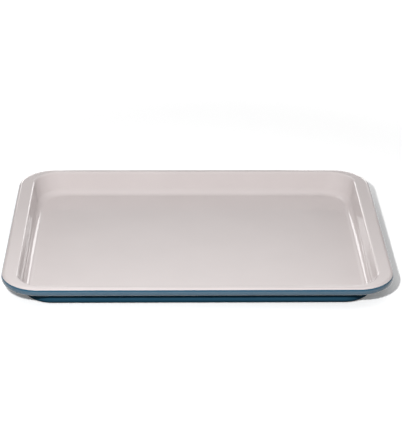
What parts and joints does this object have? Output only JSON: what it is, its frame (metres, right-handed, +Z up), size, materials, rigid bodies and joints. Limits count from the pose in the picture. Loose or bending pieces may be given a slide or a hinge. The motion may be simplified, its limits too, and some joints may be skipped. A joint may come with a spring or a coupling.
{
  "type": "half sheet pan",
  "caption": "Shallow rectangular baking tray of coated steel with a flat rim, wider at both ends for carrying, and an edge rolled under round a wire.",
  "frame": {"origin": "middle of the underside of the floor, on the surface that the pan stands on", "axes": "+X along the length, between the two wide carrying rims; +Y from front to back; +Z up, out of the open top"},
  "size_m": [0.457, 0.33, 0.029],
  "materials": {
    "sheet_steel": "cold-rolled, under the coats",
    "wire_steel": "drawn",
    "interior_ceramic": "glossy pale warm grey",
    "exterior_ceramic": "glossy dark teal blue"
  },
  "bodies": {
    "root": {"pan_shell": "sheet_steel", "rim_wire": "wire_steel", "interior_coating": "interior_ceramic", "exterior_coating": "exterior_ceramic"}
  },
  "joints": []
}
